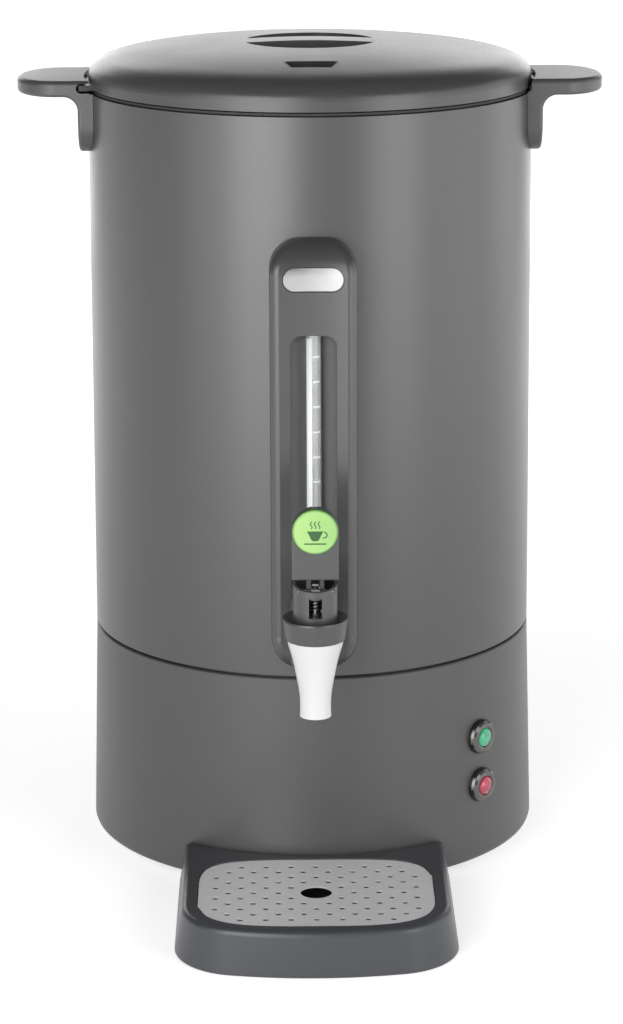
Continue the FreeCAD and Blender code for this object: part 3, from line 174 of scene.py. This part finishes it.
def scatter(b, weight, reach):
    """Light that goes into the piece and comes out again up to reach away."""
    b.inputs["Subsurface Weight"].default_value = weight
    b.inputs["Subsurface Radius"].default_value = (reach, reach, reach)
    b.inputs["Subsurface Scale"].default_value = 1.0


# Materials

def moulded(name, colour, rough=0.42, grain=1.0, size=1100.0, gloss=0.5, shift=0.05):
    """Injection moulding: fine eroded grain, slow changes of tone and gloss."""
    m, t, b = tree_of(name)
    v = coords(t)
    slow = noise(t, v, 9.0, 3.0)
    fine = noise(t, v, size, 2.0, 0.6)
    mid = noise(t, v, size * 0.28, 2.0)
    tones(t, b, slow, scaled(colour, 1 - shift), scaled(colour, 1 + shift))
    roughness(t, b, slow, rough - 0.03, rough + 0.03, fine, 0.04)
    normal = bump(t, mid, 0.12 * grain, 0.00012)
    normal = bump(t, fine, 0.30 * grain, 0.00006, normal)
    t.links.new(normal, b.inputs["Normal"])
    b.inputs["Specular IOR Level"].default_value = gloss
    return m


def painted(name, colour, rough=0.33, gloss=0.85):
    """Satin stove enamel on sheet: faint orange peel, slow changes of gloss."""
    m, t, b = tree_of(name)
    v = coords(t)
    slow = noise(t, v, 5.0, 2.0)
    peel = noise(t, v, 420.0, 2.0, 0.5)
    fine = noise(t, v, 1500.0, 2.0, 0.6)
    tones(t, b, slow, scaled(colour, 0.97), scaled(colour, 1.03))
    roughness(t, b, slow, rough - 0.015, rough + 0.015, fine, 0.03)
    normal = bump(t, peel, 0.10, 0.00010)
    normal = bump(t, fine, 0.18, 0.00004, normal)
    t.links.new(normal, b.inputs["Normal"])
    b.inputs["Specular IOR Level"].default_value = gloss
    return m


def brushed(name, colour, rough=0.3, stretch=(1, 40, 40), grain=1.0, scale=60.0, aniso=0.5, metal=1.0):
    """Brushed or rolled metal: long fine scratches along one direction."""
    m, t, b = tree_of(name)
    lines = noise(t, coords(t, stretch), scale, 4.0, 0.65)
    slow = noise(t, coords(t), 12.0, 2.0)
    tones(t, b, lines, scaled(colour, 0.9), scaled(colour, 1.04), 0.25, 0.75)
    roughness(t, b, lines, rough - 0.06, rough + 0.08, slow, 0.02)
    t.links.new(bump(t, lines, 0.25 * grain, 0.00004), b.inputs["Normal"])
    b.inputs["Metallic"].default_value = metal
    b.inputs["Anisotropic"].default_value = aniso
    return m


def turned_metal(name, colour, rough=0.25, scale=500.0, shift=0.06):
    """Turned, plated or cast metal with a fine even grain."""
    m, t, b = tree_of(name)
    v = coords(t)
    fine = noise(t, v, scale, 3.0)
    slow = noise(t, v, 18.0, 2.0)
    tones(t, b, slow, scaled(colour, 1 - shift), scaled(colour, 1 + shift))
    roughness(t, b, fine, rough - 0.05, rough + 0.05, slow, 0.02)
    t.links.new(bump(t, fine, 0.12, 0.00003), b.inputs["Normal"])
    b.inputs["Metallic"].default_value = 1.0
    return m


def rubbery(name, colour, rough=0.6, soft=0.0):
    """Rubber or silicone: matt, with a light bloom on the skin."""
    m, t, b = tree_of(name)
    v = coords(t)
    slow = noise(t, v, 60.0, 4.0)
    fine = noise(t, v, 900.0, 2.0)
    tones(t, b, slow, scaled(colour, 0.85), scaled(colour, 1.25))
    t.links.new(spread(t, fine, rough - 0.08, rough + 0.08), b.inputs["Roughness"])
    t.links.new(bump(t, fine, 0.25, 0.00006), b.inputs["Normal"])
    if soft:
        scatter(b, soft, 0.002)
    return m


def lens(name, deep, light):
    """Glossy coloured lamp lens with small cells inside."""
    m, t, b = tree_of(name)
    v = coords(t)
    cells = t.nodes.new("ShaderNodeTexVoronoi")
    cells.inputs["Scale"].default_value = 700.0
    t.links.new(v, cells.inputs["Vector"])
    tones(t, b, noise(t, v, 220.0, 2.0), deep, light)
    b.inputs["Roughness"].default_value = 0.16
    t.links.new(bump(t, cells.outputs["Distance"], 0.08, 0.0001), b.inputs["Normal"])
    scatter(b, 0.25, 0.003)
    b.inputs["Coat Weight"].default_value = 0.6
    b.inputs["Coat Roughness"].default_value = 0.06
    return m


def clear_tube(name):
    """Clear tube with faint streaks along its length."""
    m, t, b = tree_of(name)
    streak = noise(t, coords(t, (1, 1, 0.05)), 300.0, 2.0)
    tones(t, b, streak, (0.90, 0.92, 0.92), (0.97, 0.98, 0.98))
    t.links.new(spread(t, streak, 0.06, 0.14), b.inputs["Roughness"])
    b.inputs["IOR"].default_value = 1.46
    b.inputs["Transmission Weight"].default_value = 0.75
    return m


def button_material(name):
    """Glossy light green cap: painted light makes it paler to the left, on the key lamp's side, and it is
    darker on its rounded rim.
    """
    m, t, b = tree_of(name)
    place = split_coords(t)
    up = math_node(t, "SUBTRACT", place["Z"], BUTTON_Z)
    # painted light: the cap is paler to the left, where the key lamp falls
    tones(t, b, place["X"], (0.42, 0.66, 0.22), (0.32, 0.58, 0.19), -0.012, 0.012)
    rim = spread(t, length_of(t, place["X"], up), 0, 1, 0.0116, 0.0128)
    paint_over(t, b, rim, (0.12, 0.30, 0.06))
    fine = noise(t, coords(t), 900.0, 2.0)
    t.links.new(spread(t, fine, 0.20, 0.28), b.inputs["Roughness"])
    return m


def column_material(name, colour, inside):
    """Satin moulding whose deep trough is painted a paler colour, as painted light against the shade inside
    it.
    """
    m = moulded(name, colour, 0.34, gloss=0.75)
    t = m.node_tree
    place = split_coords(t)
    # painted light: a paler colour in the deep trough stands in for light where the trough would lie in
    # shade
    back = math_node(t, "SUBTRACT", place["Y"], TROUGH_Y)
    near = spread(t, length_of(t, place["X"], back), 1, 0, 0.0137, 0.0143)
    under_top = spread(t, place["Z"], 1, 0, 0.3490, 0.3500)
    deep = spread(t, back, 0, 1, 0.0002, 0.0020)
    mask = math_node(t, "MULTIPLY", math_node(t, "MULTIPLY", near, under_top), deep)
    paint_over(t, shader_of(m), mask, inside)
    return m


def lever_material(name, colour):
    """Satin moulding with painted shade: its cheeks, under the blade, are painted black where shade falls
    inside the bonnet.
    """
    m = moulded(name, colour, 0.34, gloss=0.75)
    t = m.node_tree
    # painted shade: black below the blade, on the cheeks that sit in the shade of the bonnet
    shade_under_blade = spread(t, split_coords(t)["Z"], 1, 0, 0.2192, 0.2197)
    paint_over(t, shader_of(m), shade_under_blade, (0.010, 0.010, 0.010))
    return m


def ink(name, colour, rough=0.45):
    """Flat colour for print and for a painted highlight, with a very fine change of tone."""
    m, t, b = tree_of(name)
    tones(t, b, noise(t, coords(t), 1400.0, 2.0), scaled(colour, 0.92), scaled(colour, 1.05))
    b.inputs["Roughness"].default_value = rough
    return m


mats = {
    "shell_paint": painted("satin_grey_paint", (0.044, 0.0437, 0.044)),
    "case_plastic": moulded("grey_case_plastic", GREY, 0.42, gloss=0.75),
    "lid_plastic": moulded("grey_lid_plastic", GREY, 0.34, gloss=0.65),
    # the column's material carries painted light in its trough
    "column_plastic": column_material("grey_column_plastic", TAP_GREY, (0.15, 0.15, 0.152)),
    # the lever's material carries painted shade on its cheeks
    "lever_plastic": lever_material("grey_lever_plastic", TAP_GREY),
    "tray_plastic": moulded("grey_tray_plastic", (0.040, 0.042, 0.048), 0.38, gloss=0.75),
    "tank_steel": brushed("tank_steel", (0.62, 0.62, 0.61), 0.28, (1, 1, 30), scale=70.0),
    "plain_steel": turned_metal("plain_steel", (0.56, 0.56, 0.56), 0.3),
    "grid_steel": brushed("grid_steel", (0.90, 0.89, 0.90), 0.40, (1, 26, 26), 1.0, 55.0, 0.3, 0.45),
    "badge_silver": brushed("badge_silver", (0.42, 0.42, 0.42), 0.36, (1, 30, 30), 0.5, 120.0, 0.2),
    "lamp_chrome": turned_metal("dark_chrome", (0.13, 0.125, 0.122), 0.24),
    "lens_green": lens("green_lens", (0.02, 0.34, 0.16), (0.08, 0.50, 0.27)),
    "lens_red": lens("red_lens", (0.36, 0.02, 0.05), (0.54, 0.06, 0.12)),
    "button_green": button_material("light_green_button"),
    "nozzle_white": moulded("off_white_plastic", (0.73, 0.73, 0.72), 0.33, 0.4, shift=0.02),
    "tube_glass": clear_tube("clear_tube"),
    "silicone": rubbery("pale_silicone", (0.68, 0.68, 0.66), 0.5, 0.3),
    "dark_rubber": rubbery("black_rubber", (0.022, 0.022, 0.023), 0.62),
    "black_plastic": moulded("black_plastic", (0.018, 0.018, 0.019), 0.38),
    "aluminium": turned_metal("cast_aluminium", (0.74, 0.74, 0.75), 0.42, 260.0),
    "brass": turned_metal("turned_brass", (0.72, 0.55, 0.28), 0.3),
    "lead_sleeve": rubbery("lead_sleeve", (0.35, 0.33, 0.30), 0.6),
    "ceramic_white": moulded("glazed_insulator", (0.82, 0.80, 0.75), 0.22, 0.3),
}
# white print for the scale and rocker marks, also used for the painted highlight stripe on the sight tube
white_ink_and_highlight = ink("white_print_and_highlight", (0.90, 0.91, 0.91))
dark_green = ink("dark_green_print", (0.035, 0.11, 0.03))

# Every piece takes the material of its slot, apart from these two
PIECE_MATERIAL = {"lid_shell": "lid_plastic", "tap_lever": "lever_plastic"}
slot_of = {s["node"]: s["material_slot"] for s in frame["record"]["subparts"]}
for name, obj in frame["nodes"].items():
    obj.data.materials.clear()
    obj.data.materials.append(mats[PIECE_MATERIAL.get(name, slot_of[name])])


# Piece helpers

def link(name, mesh, body, material):
    """Put a piece into the scene, on a body and in a material slot."""
    obj = bpy.data.objects.new(name, mesh)
    scene.collection.objects.link(obj)
    mesh.materials.append(material)
    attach(obj, body)


def mesh_of(name, bm, smooth=False):
    mesh = bpy.data.meshes.new(name)
    bmesh.ops.recalc_face_normals(bm, faces=bm.faces)
    bm.to_mesh(mesh)
    bm.free()
    for p in mesh.polygons:
        p.use_smooth = smooth
    return mesh


def tube_band(bm, thick, a0, a1, z0, z1, steps=8):
    """Band on the sight tube between two angles (degrees, 0 = front, towards +X) and two heights: the
    printed marks, and the painted highlight stripe.
    """
    r0, r1 = SIGHT_R - 0.00002, SIGHT_R + thick
    rows = []
    for i in range(steps + 1):
        a = math.radians(a0 + (a1 - a0) * i / steps)
        s, c = math.sin(a), -math.cos(a)
        ring = ((r0, z0), (r1, z0), (r1, z1), (r0, z1))
        rows.append([bm.verts.new((r * s, SIGHT_Y + r * c, z)) for r, z in ring])
    for a, b in zip(rows, rows[1:]):
        for i in range(4):
            j = (i + 1) % 4
            bm.faces.new((a[i], b[i], b[j], a[j]))
    bm.faces.new(rows[0])
    bm.faces.new(rows[-1][::-1])


def stroke(points, width):
    """Strip of quads along a line, with square ends."""
    rails = []
    for i, p in enumerate(points):
        a = points[max(i - 1, 0)]
        b = points[min(i + 1, len(points) - 1)]
        dx, dy = b[0] - a[0], b[1] - a[1]
        ln = math.hypot(dx, dy)
        nx, ny = -dy / ln * width / 2, dx / ln * width / 2
        rails.append(((p[0] + nx, p[1] + ny), (p[0] - nx, p[1] - ny)))
    return [(a[0], a[1], b[1], b[0]) for a, b in zip(rails, rails[1:])]


def fill_between(top, bottom):
    """Strip of quads between two lines of as many points."""
    return [(a, b, d, c) for a, b, c, d in zip(top, bottom, top[1:], bottom[1:])]


def arc(cx, cy, r_across, r_up, a0, a1, steps):
    """Points on an ellipse between two angles in degrees."""
    angles = [math.radians(a0 + (a1 - a0) * i / steps) for i in range(steps + 1)]
    return [(cx + r_across * math.cos(a), cy + r_up * math.sin(a)) for a in angles]


def print_on(name, target, quads, origin, right, inward, body, material):
    """Thin print drawn with right and up as its axes, and dropped along inward onto the target's surface."""
    bm = bmesh.new()
    base = Vector(origin)
    up = Vector((0, 0, 1))
    seen = {}
    rims = {}

    def corner(p):
        key = (round(p[0], 6), round(p[1], 6))
        if key not in seen:
            start = base + right * p[0] + up * p[1] - inward * 0.02
            hit, place, normal, _ = target.ray_cast(start, inward, distance=0.05)
            if not hit:
                place, normal = start + inward * 0.02, -inward
            seen[key] = (bm.verts.new(place + normal * 0.00005), bm.verts.new(place - normal * 0.00004))
        return key

    for quad in quads:
        keys = list(dict.fromkeys(corner(p) for p in quad))
        if len(keys) < 3:
            continue
        bm.faces.new([seen[k][0] for k in keys])
        bm.faces.new([seen[k][1] for k in reversed(keys)])
        for k, other in zip(keys, keys[1:] + keys[:1]):
            edge = frozenset((k, other))
            rims[edge] = None if edge in rims else (k, other)
    for rim in rims.values():
        if rim is not None:
            (a0, a1), (b0, b1) = seen[rim[0]], seen[rim[1]]
            bm.faces.new((a0, b0, b1, a1))
    link(name, mesh_of(name, bm), body, material)


# Scale marks on the sight tube, and a painted highlight: a white stripe on its left that stands in for the
# key lamp's reflection
MARK_HEIGHTS = (0.3363, 0.3216, 0.3068, 0.2917, 0.2769, 0.2622)
MARK_HALF = 0.0006
bm = bmesh.new()
for z in MARK_HEIGHTS:
    tube_band(bm, 0.00008, -4, 57, z - MARK_HALF, z + MARK_HALF)
link("gauge_marks", mesh_of("gauge_marks", bm, True), "urn", white_ink_and_highlight)
# painted highlight: a white stripe on the left of the tube stands in for the reflection of the key lamp
bm = bmesh.new()
tube_band(bm, 0.00006, -66, -12, 0.203, 0.3470)
link("gauge_painted_highlight", mesh_of("gauge_painted_highlight", bm, True), "urn", white_ink_and_highlight)

# A plain cup with a handle, a saucer and steam on the button
CUP_ACROSS = (-0.0046, -0.0036, -0.0024, -0.0012, 0, 0.0012, 0.0024, 0.0036, 0.0046)
CUP_TOP = 0.0006
CUP_FOOT = -0.0052
cup_half = CUP_ACROSS[-1]
bowl = [(x * 0.62, CUP_FOOT + 0.495 * cup_half * (abs(x) / cup_half) ** 4) for x in CUP_ACROSS]
cup = fill_between([(x, CUP_TOP) for x in CUP_ACROSS], bowl)
cup += stroke(arc(cup_half, -0.0016, 0.0021, 0.0017, 80, -100, 12), 0.0007)
cup += stroke([(-0.0062 + 0.00124 * i, -0.0068) for i in range(11)], 0.0008)
for x in (-0.0022, 0.0, 0.0022):
    cup += stroke([(x + 0.0005 * math.sin(i * 0.75), 0.0021 + 0.00042 * i) for i in range(11)], 0.0006)
button = frame["nodes"]["lever_button"]
button_middle = (0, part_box("lever_button")[0][1], BUTTON_Z)
print_on("button_cup", button, cup, button_middle, Vector((1, 0, 0)), Vector((0, 1, 0)), "lever", dark_green)

# Plain on and off marks on the rocker
rocker = frame["nodes"]["power_rocker"]
r_lo, r_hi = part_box("power_rocker")
rocker_middle = ((r_lo[0] + r_hi[0]) / 2, r_hi[1], (r_lo[2] + r_hi[2]) / 2)
from_left, from_behind = Vector((-1, 0, 0)), Vector((0, -1, 0))
marks = stroke([(0, 0.0045 + 0.0007 * i) for i in range(7)], 0.0009)
marks += stroke(arc(0, -0.0064, 0.0019, 0.0019, 0, 360, 28), 0.0007)
print_on("rocker_marks", rocker, marks, rocker_middle, from_left, from_behind, "rocker", white_ink_and_highlight)


# Floor: white to the camera and in reflections, and brighter with the distance from the urn

FLOOR_NEAR, FLOOR_FAR = 0.4, 1.8
FLOOR_GLOW, FLOOR_WHITE = 0.53, 1.02


def floor_material():
    m = bpy.data.materials.new("studio_floor")
    m.use_nodes = True
    t = m.node_tree
    t.nodes.clear()
    out = t.nodes.new("ShaderNodeOutputMaterial")
    diffuse = t.nodes.new("ShaderNodeBsdfDiffuse")
    diffuse.inputs["Color"].default_value = (0.80, 0.80, 0.805, 1)
    glow = t.nodes.new("ShaderNodeEmission")
    glow.inputs["Color"].default_value = (1, 1, 1, 1)
    path = t.nodes.new("ShaderNodeLightPath")
    seen = math_node(t, "MAXIMUM", path.outputs["Is Camera Ray"], path.outputs["Is Glossy Ray"])
    seen = math_node(t, "MAXIMUM", seen, path.outputs["Is Transmission Ray"])
    place = t.nodes.new("ShaderNodeTexCoord")
    far = t.nodes.new("ShaderNodeVectorMath")
    far.operation = "LENGTH"
    t.links.new(place.outputs["Object"], far.inputs[0])
    level = spread(t, far.outputs["Value"], FLOOR_GLOW, FLOOR_WHITE, FLOOR_NEAR, FLOOR_FAR, "SMOOTHSTEP")
    t.links.new(math_node(t, "MULTIPLY", seen, level), glow.inputs["Strength"])
    add = t.nodes.new("ShaderNodeAddShader")
    t.links.new(diffuse.outputs[0], add.inputs[0])
    t.links.new(glow.outputs[0], add.inputs[1])
    t.links.new(add.outputs[0], out.inputs["Surface"])
    return m


bm = bmesh.new()
bmesh.ops.create_grid(bm, x_segments=2, y_segments=2, size=8.0)
floor_mesh = mesh_of("floor", bm)
floor = bpy.data.objects.new("floor", floor_mesh)
scene.collection.objects.link(floor)
floor.location.z = -0.0003
floor_mesh.materials.append(floor_material())


# World: white to the camera, a plain fill on the urn, and dim in reflections but for a low pale band

GLOSSY_LOW = 0.35
GLOSSY_HIGH = 0.10
FILL = 0.22
world = bpy.data.worlds.new("studio")
scene.world = world
world.use_nodes = True
wt = world.node_tree
wt.nodes.clear()


def backdrop(colour, strength):
    n = wt.nodes.new("ShaderNodeBackground")
    n.inputs["Color"].default_value = (*colour, 1)
    n.inputs["Strength"].default_value = strength
    return n


def either(fac, no, yes):
    n = wt.nodes.new("ShaderNodeMixShader")
    for socket, source in zip(n.inputs, (fac, no.outputs[0], yes.outputs[0])):
        wt.links.new(source, socket)
    return n


path = wt.nodes.new("ShaderNodeLightPath")
glossy = backdrop((1, 1, 1), 1.0)
up = split_coords(wt, "Generated")["Z"]
wt.links.new(spread(wt, up, GLOSSY_LOW, GLOSSY_HIGH, 0.0, 0.5, "SMOOTHSTEP"), glossy.inputs["Strength"])
unseen = either(path.outputs["Is Glossy Ray"], backdrop((0.97, 0.98, 1.0), FILL), glossy)
seen = math_node(wt, "MAXIMUM", path.outputs["Is Camera Ray"], path.outputs["Is Transmission Ray"])
both = either(seen, unseen, backdrop((1, 1, 1), 1.0))
wt.links.new(both.outputs[0], wt.nodes.new("ShaderNodeOutputWorld").inputs["Surface"])


# Lamps

def softbox(name, azimuth, distance, height, width, tall, radiance, aim=0.25):
    """Soft light. Azimuth in degrees from the front, towards +X; radiance as seen in a mirror."""
    a = math.radians(azimuth)
    light = bpy.data.lights.new(name, "AREA")
    light.shape = "RECTANGLE"
    light.size = width
    light.size_y = tall
    light.energy = radiance * math.pi * width * tall
    obj = bpy.data.objects.new(name, light)
    scene.collection.objects.link(obj)
    obj.location = (distance * math.sin(a), AXIS_Y - distance * math.cos(a), height)
    look = Vector((0, AXIS_Y, aim)) - obj.location
    obj.rotation_mode = "QUATERNION"
    obj.rotation_quaternion = look.to_track_quat("-Z", "Y")
    obj.visible_camera = False


softbox("key_left", -23.5, 1.5, 0.62, 0.84, 1.30, 4.3)
softbox("key_tail", -50, 1.5, 0.62, 0.70, 1.30, 1.1)
softbox("fill_right", 42, 1.6, 0.62, 0.80, 1.30, 2.8)
softbox("fill_tail", 77, 1.6, 0.62, 0.95, 1.30, 1.1)
softbox("side_right", 110, 1.6, 0.60, 0.80, 1.1, 1.1)
softbox("back_left", -158, 1.7, 0.6, 0.7, 1.1, 1.4)
softbox("back_right", 158, 1.7, 0.6, 0.7, 1.1, 1.0)
softbox("back_wide", 180, 2.6, 1.00, 3.0, 1.1, 1.8)


# Camera at the photograph's place. Lengths in metres, angles in radians

FOCAL_PX = 3166.3
IMAGE_H = 1024
SENSOR = 36.0
CAMERA_SIDE = -0.0185
CAMERA_BACK = 1.9293
CAMERA_UP = 0.7256
LOOK_DOWN = 0.26452
ROLL = -0.0038
cam_data = bpy.data.cameras.new("camera")
cam_data.sensor_width = SENSOR
cam_data.lens = FOCAL_PX * SENSOR / IMAGE_H
cam_data.clip_start = 0.05
cam_data.clip_end = 30.0
camera = bpy.data.objects.new("camera", cam_data)
scene.collection.objects.link(camera)
turn = Matrix.Rotation(CAMERA_SIDE / CAMERA_BACK, 3, "Z")
turn = turn @ Matrix.Rotation(math.radians(90) - LOOK_DOWN, 3, "X")
turn = turn @ Matrix.Rotation(ROLL, 3, "Z")
camera.matrix_world = Matrix.Translation((CAMERA_SIDE, AXIS_Y - CAMERA_BACK, CAMERA_UP)) @ turn.to_4x4()
scene.camera = camera
